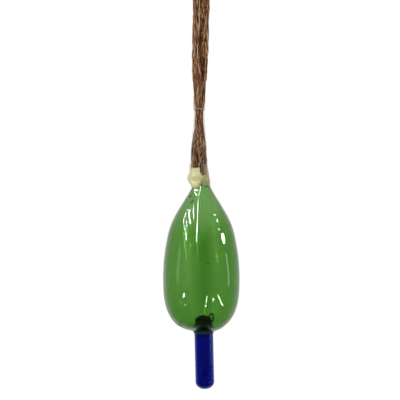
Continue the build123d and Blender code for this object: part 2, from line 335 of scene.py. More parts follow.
def fibre_material(name, stops, red=None):
    """Dry plant fibre, each with its own shade broken along its length, with redder patches."""
    made, tree, shader = material(name)
    shade = node(tree, "ShaderNodeAttribute", attribute_name="shade")
    fine = object_noise(tree, 850.0, (1.0, 1.0, 0.22), detail=5.0, roughness=0.7)
    clumps = maths(tree, "MULTIPLY", maths(tree, "SUBTRACT", fine, 0.5), 1.8)
    colour = ramp(tree, maths(tree, "ADD", shade.outputs["Fac"], clumps, clamp=True), stops)
    if red:
        broad = object_noise(tree, 75.0, (1.0, 1.0, 0.5), detail=2.0)
        patches = ramp(tree, broad, [(0.48, (0, 0, 0)), (0.66, (1, 1, 1))])
        share = node(tree, "ShaderNodeRGBToBW")
        tree.links.new(patches, share.inputs[0])
        colour = mixed(tree, maths(tree, "MULTIPLY", share.outputs[0], 0.55), colour, red)
    tree.links.new(colour, shader.inputs["Base Color"])
    shader.inputs["Roughness"].default_value = 0.8
    shader.inputs["Specular IOR Level"].default_value = 0.06
    bumped(tree, shader, fine, strength=0.5, distance=0.0002)
    return made


cord_fibre = fibre_material(
    "cord_fibre",
    [
        (0.0, (0.026, 0.009, 0.001)),
        (0.3, (0.090, 0.034, 0.008)),
        (0.55, (0.220, 0.092, 0.032)),
        (0.8, (0.430, 0.230, 0.115)),
        (1.0, (0.660, 0.450, 0.280)),
    ],
    (0.250, 0.078, 0.040),
)
pale_fibre = fibre_material("pale_fibre", [(0.0, (0.42, 0.29, 0.19)), (1.0, (0.80, 0.68, 0.54))])
twine_fibre = fibre_material(
    "twine_fibre",
    [(0.0, (0.16, 0.10, 0.05)), (0.5, (0.36, 0.25, 0.14)), (1.0, (0.60, 0.47, 0.30))],
)

# Glass is as deep as its colour to the power of the wall's thickness, between these two
THIN_WALL, THICK_WALL = 0.4, 1.8
WALL_STEPS = 7


def glass_material(name, colour, streaks, thickness=None):
    """Glass coloured right through, with faint streaks along it.

    The colour is what white light becomes through one wall of thickness 1. An attribute may give
    the thickness."""
    made, tree, shader = material(name)
    broad = object_noise(tree, 1.0, (75.0, 75.0, 9.0), detail=3.0, roughness=0.5)
    thick = maths(tree, "MULTIPLY_ADD", broad, 2 * streaks, 1.0 - streaks)
    if thickness:
        wall = node(tree, "ShaderNodeAttribute", attribute_name=thickness)
        thick = maths(tree, "SUBTRACT", maths(tree, "ADD", thick, wall.outputs["Fac"]), 1.0)
    place = node(tree, "ShaderNodeMapRange")
    place.inputs["From Min"].default_value = THIN_WALL
    place.inputs["From Max"].default_value = THICK_WALL
    tree.links.new(thick, place.inputs["Value"])
    stops = []
    for k in range(WALL_STEPS + 1):
        power = THIN_WALL + (THICK_WALL - THIN_WALL) * k / WALL_STEPS
        stops.append((k / WALL_STEPS, tuple(c**power for c in colour)))
    tree.links.new(ramp(tree, place.outputs[0], stops), shader.inputs["Base Color"])
    shader.inputs["Roughness"].default_value = 0.0
    shader.inputs["IOR"].default_value = 1.5
    shader.inputs["Transmission Weight"].default_value = 1.0
    return made


green_glass = glass_material("green_glass", (0.233, 0.453, 0.141), 0.10, "shade")
cobalt_glass = glass_material("cobalt_glass", (0.026, 0.058, 0.430), 0.08)
clear_glass = glass_material("clear_glass", (0.95, 0.97, 0.97), 0.05)


def film_material():
    """Thin clear film, seen mostly where it turns away."""
    made, tree, shader = material("clear_film")
    wrinkles = object_noise(tree, 260.0, (1.0, 1.0, 0.5), detail=4.0, roughness=0.6)
    edge = maths(tree, "POWER", turned_away(tree), 3.0)
    cover = maths(tree, "MULTIPLY_ADD", edge, 0.60, 0.01)
    raised = maths(tree, "SUBTRACT", wrinkles, 0.58, clamp=True)
    cover = maths(tree, "ADD", cover, maths(tree, "MULTIPLY", raised, 0.6), clamp=True)
    tree.links.new(cover, shader.inputs["Alpha"])
    shader.inputs["Base Color"].default_value = (0.90, 0.79, 0.65, 1.0)
    shader.inputs["Roughness"].default_value = 0.25
    bumped(tree, shader, wrinkles, strength=0.6, distance=0.0006)
    return made


def resin_material(name, stops, cover, roughness):
    """Cast resin, cloudy and uneven; cover is how much it hides where it faces the viewer."""
    made, tree, shader = material(name)
    cloud = object_noise(tree, 190.0, (1.0, 1.0, 0.7), detail=4.0, roughness=0.6)
    tree.links.new(ramp(tree, cloud, stops), shader.inputs["Base Color"])
    shader.inputs["Roughness"].default_value = roughness
    shader.inputs["Subsurface Weight"].default_value = 0.35
    shader.inputs["Subsurface Radius"].default_value = (1.0, 0.9, 0.5)
    shader.inputs["Subsurface Scale"].default_value = 0.002
    if cover < 1.0:
        shown = maths(tree, "MULTIPLY_ADD", turned_away(tree), 0.75, cover, clamp=True)
        tree.links.new(shown, shader.inputs["Alpha"])
    bumped(tree, shader, cloud, strength=0.4, distance=0.0008)
    return made


cream_resin = resin_material(
    "cream_resin",
    [
        (0.30, (0.50, 0.48, 0.16)),
        (0.48, (0.70, 0.68, 0.34)),
        (0.62, (0.66, 0.54, 0.30)),
        (0.75, (0.76, 0.74, 0.46)),
    ],
    cover=1.0,
    roughness=0.3,
)
olive_resin = resin_material(
    "olive_resin",
    [(0.35, (0.34, 0.38, 0.12)), (0.65, (0.56, 0.52, 0.22))],
    cover=0.45,
    roughness=0.2,
)
clear_resin = resin_material(
    "clear_resin",
    [(0.35, (0.70, 0.66, 0.42)), (0.65, (0.84, 0.80, 0.66))],
    cover=0.03,
    roughness=0.12,
)


def plain_material(name, colour, roughness, metallic=0.0, speckle=0.12, clear=0.0):
    """A material with slight unevenness of tone and surface; clear is how much light passes."""
    made, tree, shader = material(name)
    grain = object_noise(tree, 400.0, detail=4.0, roughness=0.6)
    low = tuple(c * (1.0 - speckle) for c in colour)
    high = tuple(min(1.0, c * (1.0 + speckle)) for c in colour)
    tree.links.new(ramp(tree, grain, [(0.3, low), (0.7, high)]), shader.inputs["Base Color"])
    shader.inputs["Roughness"].default_value = roughness
    shader.inputs["Metallic"].default_value = metallic
    shader.inputs["Transmission Weight"].default_value = clear
    bumped(tree, shader, grain, strength=0.15, distance=0.0002)
    return made


DRESSED = {
    "bound_cord": cord_fibre,
    "bottom_seal": plain_material("sealant", (0.012, 0.034, 0.022), 0.12),
    "probe_tube": cobalt_glass,
    "stopper": plain_material("dark_rubber", (0.006, 0.010, 0.007), 0.45, speckle=0.3),
    "pull_ring": plain_material("ring_wire", (0.03, 0.04, 0.035), 0.35, 0.6, 0.3),
    "ballast_shot": plain_material("shot", (0.80, 0.80, 0.82), 0.5),
    "reservoir_pad": plain_material("pad", (0.85, 0.85, 0.85), 0.8),
    "thermometer_stem": clear_glass,
    "spirit_reservoir": plain_material("spirit", (0.30, 0.42, 0.92), 0.1, clear=0.9),
    "scale_strip": plain_material(
        "scale_face", (0.93, 0.93, 0.91), 0.2, speckle=0.03, clear=1.0
    ),
    "scale_marks": plain_material("scale_ink", (0.02, 0.02, 0.02), 0.6),
    "lower_collar": plain_material("collar", (0.93, 0.93, 0.90), 0.6),
}
DRESSED["upper_collar"] = DRESSED["lower_collar"]
for name, dressing in DRESSED.items():
    nodes[name].data.materials.clear()
    nodes[name].data.materials.append(dressing)

# ---- Cord: fibres laid round each leg's line in twisted strands ----
LINE_STEP = 1.6
STRANDS = 3
STRAND_REACH = 0.95  # from the leg's line to a strand's middle
STRAND_RADIUS = 1.95
STRAND_PITCH = 70.0
FIBRES = 46  # in each strand
FIBRE_PITCH = -48.0
FIBRE_WIDTHS = [0.12, 0.16, 0.20, 0.26, 0.34]
FIBRE_SIDES = 5
CORE_RADIUS = 2.5
CORE_SIDES = 14
# The core under the fibres is coloured far darker than they are: painted shade in the gaps between
# them
CORE_PAINTED_SHADE = 0.12
BRIDGES = 9  # fibres in the valley between the legs, on each leg
BRIDGE_WIDTHS = [0.16, 0.22, 0.30]
BRIDGE_END = -163.0  # below here they are as thin as this, deep in the leg
BRIDGE_TIP = 0.02
FULLER = 0.07  # how much fuller the cord is near the binding, fading out down to this height
FULLER_FROM = -115.0
FULLER_FADE = 20.0
END_DARKENING = 0.28  # how much darker the fibres are, from this height down
DARKENING_FROM = -160.0
DARKENING_FADE = 8.0
HAIRS = 0.9  # loose ends for each point of the line
HAIR_STAND = 0.55  # from the core's face to a hair's ends
HAIR_ARCH = 0.35  # and how much further its middle stands, at the most
# Unevenness along a fibre or cord: (how much, over what length)
FIBRE_TURN_WAVE = (1.4, 17.0)  # radians
FIBRE_REACH_WAVE = (0.22, 9.0)
FIBRE_WIDTH_WAVE = (0.5, 12.0)
BRIDGE_ACROSS_WAVE = (0.10, 14.0)
BRIDGE_DEPTH_WAVE = (0.9, 11.0)
BRIDGE_WIDTH_WAVE = (0.4, 9.0)
CORE_WAVE = (0.05, 6.0)


def wander(seed, places, wave):
    """Smooth numbers about 0 along a line, different for each seed."""
    strength, length = wave
    spots = [Vector((seed * 7.31, seed * 1.7, place / length)) for place in places]
    return strength * np.array([noise.noise(spot) for spot in spots])


def a_shade(rng, middle, spread, tone=0.0):
    """A fibre's own shade, from 0 dark to 1 pale."""
    return min(1.0, max(0.0, rng.gauss(middle, spread) + tone))


class Leg:
    """The fibres of one unbroken stretch of cord, cut into pieces where the bodies meet."""

    def __init__(self, route, seed):
        self.line, self.places = resampled(nurbs_line(route), LINE_STEP)
        _, self.first, self.second = side_frames(self.line)
        self.seed = seed
        rng = random.Random(seed)
        self.fibres = []
        for strand in range(STRANDS):
            start = 2 * math.pi * strand / STRANDS + 0.6 * seed
            tone = rng.uniform(-0.07, 0.07)
            for k in range(FIBRES):
                spot = rng.uniform(0.0, 2 * math.pi)
                reach = STRAND_RADIUS * rng.uniform(0.72, 1.0)
                width = rng.choice(FIBRE_WIDTHS)
                shade = a_shade(rng, 0.55, 0.23, tone)
                own_seed = strand * 100 + k + seed * 1000
                self.fibres.append(self.fibre(start, spot, reach, width, shade, own_seed))

    def fibre(self, start, spot, reach, width, shade, seed):
        """One fibre's line, radii and shades: it turns in its strand, which turns in the cord."""
        around = start + 2 * math.pi * self.places / STRAND_PITCH
        own = spot + 2 * math.pi * self.places / FIBRE_PITCH
        own = own + wander(seed, self.places, FIBRE_TURN_WAVE)
        out = reach * (1.0 + wander(seed + 0.5, self.places, FIBRE_REACH_WAVE))
        heights = self.line[:, 2]
        full = 1.0 + FULLER * np.clip((heights - FULLER_FROM) / FULLER_FADE, 0.0, 1.0)
        a = full * (STRAND_REACH * np.cos(around) + out * np.cos(around + own))
        b = full * (STRAND_REACH * np.sin(around) + out * np.sin(around + own))
        line = self.line + a[:, None] * self.first + b[:, None] * self.second
        radii = width * (1.0 + wander(seed + 0.25, self.places, FIBRE_WIDTH_WAVE))
        darkening = END_DARKENING * np.clip((DARKENING_FROM - heights) / DARKENING_FADE, 0.0, 1.0)
        return line, radii, shade - darkening

    def bridge(self, other, count):
        """Fibres worked loose into the valley that this leg shares with the other."""
        rng = random.Random(self.seed + 70)
        heights = self.line[:, 2]
        beside = [np.interp(-heights, -other.line[:, 2], other.line[:, k]) for k in (0, 1)]
        across = np.stack(beside, axis=1) - self.line[:, :2]
        reach = np.linalg.norm(across, axis=1)
        across /= reach[:, None]
        turned = np.stack([-across[:, 1], across[:, 0]], axis=1)
        for k in range(count):
            seed = self.seed * 1000 + 500 + k
            out = (reach / 2) * (0.94 + wander(seed, self.places, BRIDGE_ACROSS_WAVE))
            deep = rng.uniform(-2.0, 2.0) + wander(seed + 0.4, self.places, BRIDGE_DEPTH_WAVE)
            line = self.line.copy()
            line[:, :2] += across * out[:, None] + turned * deep[:, None]
            width = rng.choice(BRIDGE_WIDTHS)
            radii = width * (1.0 + wander(seed + 0.2, self.places, BRIDGE_WIDTH_WAVE))
            radii = np.where(heights > BRIDGE_END, radii, BRIDGE_TIP)
            self.fibres.append((line, radii, np.full(len(line), a_shade(rng, 0.46, 0.2))))

    def part(self, name, span, cut_end=False):
        """The piece between two points of the line; a cut end has fibres of uneven length."""
        build = Build()
        rng = random.Random(self.seed + 5)
        line = self.line[span]
        radii = CORE_RADIUS * (1.0 + wander(self.seed, self.places[span], CORE_WAVE))
        # a dark core: painted shade seen through the gaps between the fibres
        build.tube(line, radii, CORE_SIDES, CORE_PAINTED_SHADE)
        for fibre_line, fibre_radii, shade in self.fibres:
            stop = len(line)
            if cut_end:
                stop -= rng.randrange(0, 2)
            kept = slice(span.start, span.start + stop)
            build.tube(fibre_line[kept], fibre_radii[kept], FIBRE_SIDES, shade[kept])
        self.hairs(build, span, rng)
        return build.piece(name, cord_fibre), line

    def hairs(self, build, span, rng):
        """Loose ends that leave the lay and cross it at a slant."""
        count = span.stop - span.start
        for _ in range(int(count * HAIRS)):
            size = rng.randrange(4, 10)
            if count <= size + 2:
                continue
            begin = span.start + rng.randrange(0, count - size)
            turn = rng.uniform(0.0, 2 * math.pi)
            slant = rng.choice([-1, 1]) * rng.uniform(0.3, 1.6)
            share = np.linspace(0.0, 1.0, size)
            around = (turn + slant * share)[:, None]
            arch = np.sin(math.pi * share) * rng.uniform(0.2, 1.0)
            out = (CORE_RADIUS + HAIR_STAND + HAIR_ARCH * arch)[:, None]
            where = slice(begin, begin + size)
            aside = np.cos(around) * self.first[where] + np.sin(around) * self.second[where]
            width, shade = rng.uniform(0.09, 0.19), rng.uniform(0.6, 1.0)
            build.tube(self.line[where] + out * aside, np.full(size, width), 4, shade)


def hung(route):
    """A leg's points at their place below the binding."""
    return [(x, y, z + BINDING_BASE) for x, y, z in route]


def index_at(line, height):
    """The first point of a falling line that is at or below a height."""
    return int(np.argmax(line[:, 2] <= height))


sleeve_low, sleeve_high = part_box("clear_sleeve")
sleeve_top, sleeve_foot = sleeve_high.z / MM, sleeve_low.z / MM

legs = {"long": Leg(hung(LONG_LEG), 1), "short": Leg(hung(SHORT_LEG), 2)}
legs["long"].bridge(legs["short"], BRIDGES)
legs["short"].bridge(legs["long"], BRIDGES)
for side, leg in legs.items():
    seam = index_at(leg.line, SEAM)
    upper, upper_line = leg.part(f"{side}_leg_upper_fibres", slice(0, seam + 1))
    lower, lower_line = leg.part(f"{side}_leg_lower_fibres", slice(seam, len(leg.line)), True)
    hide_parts(f"{side}_leg_upper")
    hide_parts(f"{side}_leg_lower")
    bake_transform(upper)
    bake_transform(lower)

fold = Leg(FOLD, 3)
loop, loop_line = fold.part("hang_loop_fibres", slice(0, len(fold.line)))
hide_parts("hang_loop")
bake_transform(loop)

# ---- Twine: one two-ply length wound round both legs ----
TWINE_TURNS = 5
TWINE_STEPS = 48  # points in each turn, before they are spaced evenly
TWINE_STEP = 0.6
TWINE_LEG_X = 3.1  # from the middle to each leg's line
TWINE_REACH = CORD_RADIUS + 0.8
TWINE_MARGIN = 0.8  # from the binding's ends to the first and last turn
PLIES = 2
PLY_REACH = 0.32
PLY_PITCH = 5.0
PLY_FIBRES = 7
PLY_FIBRE_REACH = 0.27
PLY_FIBRE_PITCH = 9.0
PLY_FIBRE_RADIUS = 0.16

turn_rise = (BINDING_TOP - BINDING_BASE - 2 * TWINE_MARGIN) / TWINE_TURNS
winding = []
for k in range(TWINE_TURNS * TWINE_STEPS + 1):
    share = k / TWINE_STEPS
    c, s = math.cos(2 * math.pi * share), math.sin(2 * math.pi * share)
    x = TWINE_REACH * c + TWINE_LEG_X * math.tanh(3.0 * c)
    winding.append((x, TWINE_REACH * s, BINDING_BASE + TWINE_MARGIN + share * turn_rise))
winding, wound = resampled(np.array(winding), TWINE_STEP)
_, first, second = side_frames(winding)
binding = Build()
rng = random.Random(11)
for ply in range(PLIES):
    twist = 2 * math.pi * wound / PLY_PITCH + math.pi * ply
    for fibre in range(PLY_FIBRES):
        own = 2 * math.pi * fibre / PLY_FIBRES - 2 * math.pi * wound / PLY_FIBRE_PITCH
        a = PLY_REACH * np.cos(twist) + PLY_FIBRE_REACH * np.cos(own)
        b = PLY_REACH * np.sin(twist) + PLY_FIBRE_REACH * np.sin(own)
        line = winding + a[:, None] * first + b[:, None] * second
        radii = np.full(len(line), PLY_FIBRE_RADIUS)
        binding.tube(line, radii, FIBRE_SIDES, rng.uniform(0.2, 0.8))
twine = binding.piece("twine_winding", twine_fibre)
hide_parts("twine_binding")
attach(twine, "loop_binding")

# ---- Film sleeve round the lower cord ----
SLEEVE_SIDES = 56
SLEEVE_RINGS = 70
SLEEVE_RADIUS = 4.0
SLEEVE_HALF_FLAT = 2.3
SLEEVE_FLARE = 0.8
SLEEVE_FLARE_LENGTH = 5.0
# How the film stands in and out: (how much, how often round, over what height)
CREASE = (0.28, 2.2, 9.0)
WRINKLE = (0.12, 5.0, 3.0)


def ripple(wave, c, s, height, seed=0.0):
    """Smooth numbers about 0 over an upright round form."""
    strength, often, length = wave
    return strength * noise.noise(Vector((often * c, often * s, height / length + seed)))


def leg_spots(height):
    """Where the two legs' lines are at a height, the long one first."""
    spots = []
    for leg in legs.values():
        spots.append([np.interp(-height, -leg.line[:, 2], leg.line[:, k]) for k in (0, 1)])
    return np.array(spots)


def sleeve_ring(height, outside=0.0):
    """The film's outline at a height, or a line outside it: round both legs, a little wrinkled."""
    long_spot, short_spot = leg_spots(height)
    middle, across = (long_spot + short_spot) / 2, long_spot - short_spot
    across = across / np.linalg.norm(across)
    beside = np.array([-across[1], across[0]])
    foot = max(0.0, 1.0 - (height - sleeve_foot) / SLEEVE_FLARE_LENGTH)
    radius = SLEEVE_RADIUS + outside + SLEEVE_FLARE * foot**1.5
    ring = []
    for c, s in round_turns(SLEEVE_SIDES):
        reach = radius + ripple(CREASE, c, s, height) + ripple(WRINKLE, c, s, height, 40)
        flat = SLEEVE_HALF_FLAT * max(-1.0, min(1.0, 2.5 * c))
        place = middle + across * (flat + reach * c) + beside * reach * s
        ring.append((place[0], place[1], height))
    return ring


sleeve = Build()
heights = np.linspace(sleeve_top - 0.1, sleeve_foot, SLEEVE_RINGS)
sleeve.rings([sleeve_ring(height) for height in heights], closed=False, flip=True)
film = sleeve.piece("film_sleeve", film_material())
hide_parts("clear_sleeve")
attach(film, "float")

# ---- Thread tied round the sleeve ----
TIE_STEPS = 72
TIE_RADIUS = 0.15
TIE_STAND = 0.18  # outside the film
TIE_SLACK = 0.15  # up and down as it goes round
tie_low, tie_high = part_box("tie_thread")
tie_ring = np.array(sleeve_ring((tie_low.z + tie_high.z) / 2 / MM, TIE_STAND))
tie_line = []
for k in range(TIE_STEPS + 1):
    place = k / TIE_STEPS * SLEEVE_SIDES
    low = int(place) % SLEEVE_SIDES
    step = tie_ring[(low + 1) % SLEEVE_SIDES] - tie_ring[low]
    slack = np.array([0.0, 0.0, TIE_SLACK * math.sin(k * 0.35)])
    tie_line.append(tie_ring[low] + step * (place - int(place)) + slack)
tie_build = Build()
tie_build.tube(tie_line, np.full(len(tie_line), TIE_RADIUS), 6, 0.5)
tie = tie_build.piece("tied_thread", pale_fibre)
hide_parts("tie_thread")
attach(tie, "float")

# ---- Stray fibres over the front of the lower legs: (side x, height) pairs ----
STRAYS = [
    [(-6.0, -145.6), (-3.5, -148.5), (-1.0, -151.2), (1.2, -154.2)],
    [(-6.2, -162.0), (-5.0, -160.6), (-3.6, -159.2)],
    [(-1.6, -163.2), (0.4, -161.0), (2.4, -159.4)],
    [(-2.6, -156.5), (-3.8, -158.6), (-3.2, -161.5)],
    [(-1.2, -164.0), (-1.3, -168.5), (-1.0, -173.0)],
]
# and a few side by side down the valley between those legs
VALLEY = [
    (-3.0, -85.6),
    (-2.9, -92.0),
    (-2.2, -99.0),
    (-0.9, -108.0),
    (-0.4, -112.0),
    (-1.9, -118.0),
    (-3.6, -123.0),
]
VALLEY_FIBRES = 4
VALLEY_SWAY = 0.9
STRAY_STAND = 0.18  # in front of the cord
STRAY_STEP = 0.8
STRAY_WAVE = (0.3, 4.0)
STRAY_RADIUS = 0.15
VALLEY_RADIUS = 0.13


def front_of_legs(x, height):
    """The front of whichever leg is nearer the viewer at a side place and height."""
    best = 0.0
    for px, py in leg_spots(height):
        gap = CORD_RADIUS**2 - (x - px) ** 2
        best = min(best, py - math.sqrt(gap)) if gap > 0 else best
    return best - STRAY_STAND


def lay_stray(build, rng, places, seed, radius, sway=0.0, copy=0):
    """Adds a fibre through the places; its copies sway aside, each in its own way."""
    points = []
    for x, z in places:
        aside = sway * noise.noise(Vector((copy * 3.1, z / 7.0, 5.0)))
        points.append((x + aside, front_of_legs(x, z), z))
    line, _ = resampled(nurbs_line(points), STRAY_STEP)
    radii = radius * (1.0 + wander(seed, np.arange(len(line)), STRAY_WAVE))
    build.tube(line, radii, FIBRE_SIDES, rng.uniform(0.3, 0.8))


strays = Build()
rng = random.Random(21)
for k, places in enumerate(STRAYS):
    lay_stray(strays, rng, places, k, STRAY_RADIUS)
for copy in range(VALLEY_FIBRES):
    lay_stray(strays, rng, VALLEY, len(STRAYS) + copy, VALLEY_RADIUS, VALLEY_SWAY, copy)
stray = strays.piece("stray_fibres", pale_fibre)
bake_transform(stray)

# ---- Float: the blown bubble, from the turned form (metres), with a hand-blown unevenness ----
GLASS_SIDES = 160
BASE_RINGS = 14
WALL_RINGS = 76
FOOT_REACH = 0.62  # share of the belly's radius inside which the base is measured from below
FOOT_HEIGHT = 0.03  # and under which its rings slide over to the hole
HOLE_RADIUS = 0.0073
HOLE_X = 0.0018
OUTER_HOLE_RISE, INNER_HOLE_RISE = 0.0001, 0.0018  # the hole's edges over the base
OUTER_WAVES, INNER_WAVES = 0.10, 0.09  # mm
CALM_RADIUS = 8.0  # mm, inside which there are no waves
LONG_WAVE = (1.6, 2.6, 38.0)  # how much, how often round, over what height in mm
SHORT_WAVE = (0.45, 7.0, 10.0)
RAY_START = 0.01  # below the base
RAY_SIDE = 1.2  # belly radii out from the axis

glass_node = nodes["float_bulb"]
glass_tree = BVHTree.FromPolygons(
    [v.co for v in glass_node.data.vertices],
    [tuple(p.vertices) for p in glass_node.data.polygons],
)
glass_low, glass_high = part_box("float_bulb")
base_z, mouth_z, belly = glass_low.z, glass_high.z, glass_high.x


def crossings(origin, direction):
    """Every distance at which a ray meets the glass."""
    found, start = [], 0.0
    origin, direction = Vector(origin), Vector(direction)
    while len(found) < 8:
        place, _, _, far = glass_tree.ray_cast(origin + direction * start, direction)
        if place is None:
            break
        start += far
        found.append(start)
        start += 2e-5
    return found


def glass_profile():
    """Outer and inner (radius, height) pairs from the hole in the base up to the mouth."""
    outer, inner = [], []
    for reach in np.linspace(HOLE_RADIUS + HOLE_X + 0.0004, belly * FOOT_REACH, BASE_RINGS):
        hits = crossings((-reach, 0.0, base_z - RAY_START), (0.0, 0.0, 1.0))
        outer.append((reach, base_z - RAY_START + hits[0]))
        inner.append((reach, base_z - RAY_START + hits[1]))
    for store, which in ((outer, 0), (inner, 1)):
        for height in np.linspace(store[-1][1] + 0.0012, mouth_z - 0.0007, WALL_RINGS):
            hits = crossings((-belly * RAY_SIDE, 0.0, height), (1.0, 0.0, 0.0))
            store.append((belly * RAY_SIDE - hits[which], height))
    return np.array(outer), np.array(inner)


def wavy(c, s, height, strength):
    """How far the glass stands off the turned form: long upright waves and short ripples."""
    return strength * (ripple(LONG_WAVE, c, s, height) + ripple(SHORT_WAVE, c, s, height, 9.0))


def bump_at(x, middle, half_width):
    """1 at the middle, fading out smoothly on both sides."""
    return math.exp(-(((x - middle) / half_width) ** 2))


# The wall's usual thickness, and how much thicker or thinner it is in five places
WALL, STREAK, SHOULDER, FOOT, LEFT, RIGHT = 0.86, 0.34, -0.16, 0.13, -0.26, -0.16


def thickness(x, y, z):
    """How thick the wall is, about 1: thin at the shoulders, thick in a streak down the front."""
    front = max(0.0, -math.sin(math.atan2(y, x))) ** 2
    belly_band = eased(-222.0 - z, 14.0) * eased(z + 292.0, 14.0)
    streak = STREAK * front * belly_band * bump_at(x, 2.4, 5.5)
    shoulder = SHOULDER * eased(z + 232.0, 30.0)
    foot = FOOT * eased(-278.0 - z, 16.0)
    left = LEFT * front * eased(-6.0 - x, 5.0) * eased(z + 275.0, 20.0)
    right = RIGHT * front * bump_at(x, 10.5, 3.0) * eased(z + 262.0, 20.0)
    return WALL + streak + shoulder + foot + left + right


def glass_rings(profile, waves, hole_rise):
    """Rings (mm) from the base's hole to the mouth; near the hole they slide over to its centre."""
    hole_z = (base_z + hole_rise) / MM
    hole = []
    for c, s in round_turns(GLASS_SIDES):
        hole.append((HOLE_X / MM + HOLE_RADIUS / MM * c, HOLE_RADIUS / MM * s, hole_z))
    rings = [hole]
    reach_end = belly * FOOT_REACH
    for radius, height in profile:
        shift = 0.0
        if radius < reach_end and height < base_z + FOOT_HEIGHT:
            shift = HOLE_X * (reach_end - radius) / (reach_end - profile[0][0])
        z = height / MM
        calm = eased(radius / MM - CALM_RADIUS, CALM_RADIUS)
        ring = []
        for c, s in round_turns(GLASS_SIDES):
            reach = radius / MM + wavy(c, s, z, waves) * calm
            ring.append((shift / MM + reach * c, reach * s, z))
        rings.append(ring)
    return rings


outer, inner = glass_profile()
outer_rings = glass_rings(outer, OUTER_WAVES, OUTER_HOLE_RISE)
inner_rings = glass_rings(inner, INNER_WAVES, INNER_HOLE_RISE)
lip_radius = (outer[-1][0] + inner[-1][0]) / 2 / MM
lip = [(lip_radius * c, lip_radius * s, mouth_z / MM) for c, s in round_turns(GLASS_SIDES)]
bubble = Build()
shell = outer_rings + [lip] + inner_rings[::-1] + [outer_rings[0]]
bubble.rings(shell, closed=False)
bubble.shades = [thickness(*point) for point in bubble.points]
glass = bubble.piece("blown_float", green_glass)
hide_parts("float_bulb")
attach(glass, "float")

# Dark flecks caught in the front wall: (x, height, radius)
FLECKS = [
    (-8.2, -199.4, 1.1),
    (-6.5, -203.0, 0.7),
    (-7.8, -204.2, 0.6),
    (4.9, -248.8, 0.6),
    (-12.2, -258.1, 0.45),
]
FLECK_DEPTH = 1.0  # inside the glass's outer face
FLECK_ROWS = 6
FLECK_SIDES = 9
FLECK_FLATNESS = 0.3
FLECK_WAVE = (0.35, 3.0, 1.0)
flecks = Build()
for x, z, size in FLECKS:
    reach = float(np.interp(z * MM, outer[:, 1], outer[:, 0])) / MM - FLECK_DEPTH
    y = -math.sqrt(reach**2 - x**2)
    rows = []
    for row in range(1, FLECK_ROWS):
        lift = math.pi * row / FLECK_ROWS
        ring = []
        for c, s in round_turns(FLECK_SIDES):
            wide = size * math.sin(lift) * (1.0 + ripple(FLECK_WAVE, c, s, z + row))
            ring.append((x + wide * c, y + FLECK_FLATNESS * wide * s, z + size * math.cos(lift)))
        rows.append(ring)
    flecks.rings(rows, shade=0.1)
fleck = flecks.piece("glass_flecks", DRESSED["stopper"])
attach(fleck, "float")

# ---- Resin: cream lobes round the cord ends, under a clearer skin ----
LUMP_SIDES = 72
LUMP_RINGS = 60
LUMP_SMOOTHING = 3  # rings on each side that a ring is averaged with
resin_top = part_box("neck_resin")[1].z / MM


def lump(name, dressing, table, uneven, seed, closed=True):
    """A cast lump from rings: (distance below the resin's top, left, right, middle y, half depth).

    Each ring's outline swells and shrinks by the share that uneven gives."""
    table = np.array(table)
    drops = np.linspace(table[0, 0], table[-1, 0], LUMP_RINGS)
    window = 2 * LUMP_SMOOTHING + 1
    columns = []
    for k in range(1, 5):
        column = np.interp(drops, table[:, 0], table[:, k])
        padded = np.pad(column, LUMP_SMOOTHING, mode="edge")
        columns.append(np.convolve(padded, np.ones(window) / window, "valid"))
    rings = []
    for drop, left, right, middle_y, deep in zip(drops, *columns):
        ring = []
        for c, s in round_turns(LUMP_SIDES):
            swell = 1.0 + ripple((uneven, 1.9, 4.0), c, s, drop, seed)
            x = (left + right) / 2 + (right - left) / 2 * swell * c
            ring.append((x, middle_y + deep * swell * s, resin_top - drop))
        rings.append(ring)
    build = Build()
    build.rings(rings, closed=closed, flip=True)
    made = build.piece(name, dressing)
    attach(made, "float")
    return made


lump(
    "cream_resin",
    cream_resin,
    [
        (1.0, -6.6, -3.0, 3.2, 0.6),
        (2.2, -7.8, 1.6, 2.8, 3.0),
        (4.1, -8.6, 4.5, 2.4, 3.8),
        (6.1, -8.9, 5.0, 2.2, 4.2),
        (9.1, -9.8, 5.2, 1.8, 4.6),
        (10.9, -10.2, 4.9, 0.4, 5.2),
        (12.4, -9.9, 3.4, -1.6, 5.4),
        (13.6, -9.2, 2.4, -3.2, 5.0),
        (15.8, -7.8, -0.4, -5.0, 3.6),
        (17.6, -6.4, -2.4, -5.9, 2.2),
        (18.3, -5.0, -3.6, -6.0, 0.6),
    ],
    uneven=0.16,
    seed=2.0,
)
lump(
    "olive_resin",
    olive_resin,
    [
        (3.6, 4.4, 5.2, 2.4, 1.6),
        (7.0, 3.0, 5.6, 2.2, 3.6),
        (9.4, 1.4, 6.0, 1.6, 4.6),
        (11.4, -0.6, 6.3, -0.4, 6.4),
        (13.0, -1.6, 6.5, -0.6, 7.0),
        (15.5, -1.6, 6.7, -0.4, 7.0),
        (16.6, -0.4, 6.2, -0.4, 6.4),
    ],
    uneven=0.06,
    seed=8.0,
)
clear = lump(
    "clear_resin",
    clear_resin,
    [
        (0.0, -8.9, 4.9, 0.0, 5.3),
        (3.0, -9.0, 4.8, 0.0, 5.6),
        (6.0, -9.1, 5.1, 0.0, 6.0),
        (8.5, -9.8, 5.6, 0.0, 6.4),
        (10.5, -10.9, 6.0, 0.0, 6.8),
        (12.5, -10.1, 5.9, 0.0, 7.1),
        (14.5, -8.8, 6.0, 0.0, 7.3),
        (16.5, -7.8, 6.2, 0.0, 7.1),
        (18.0, -7.1, 6.3, 0.0, 6.8),
    ],
    uneven=0.035,
    seed=3.0,
    closed=False,
)
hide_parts("neck_resin")
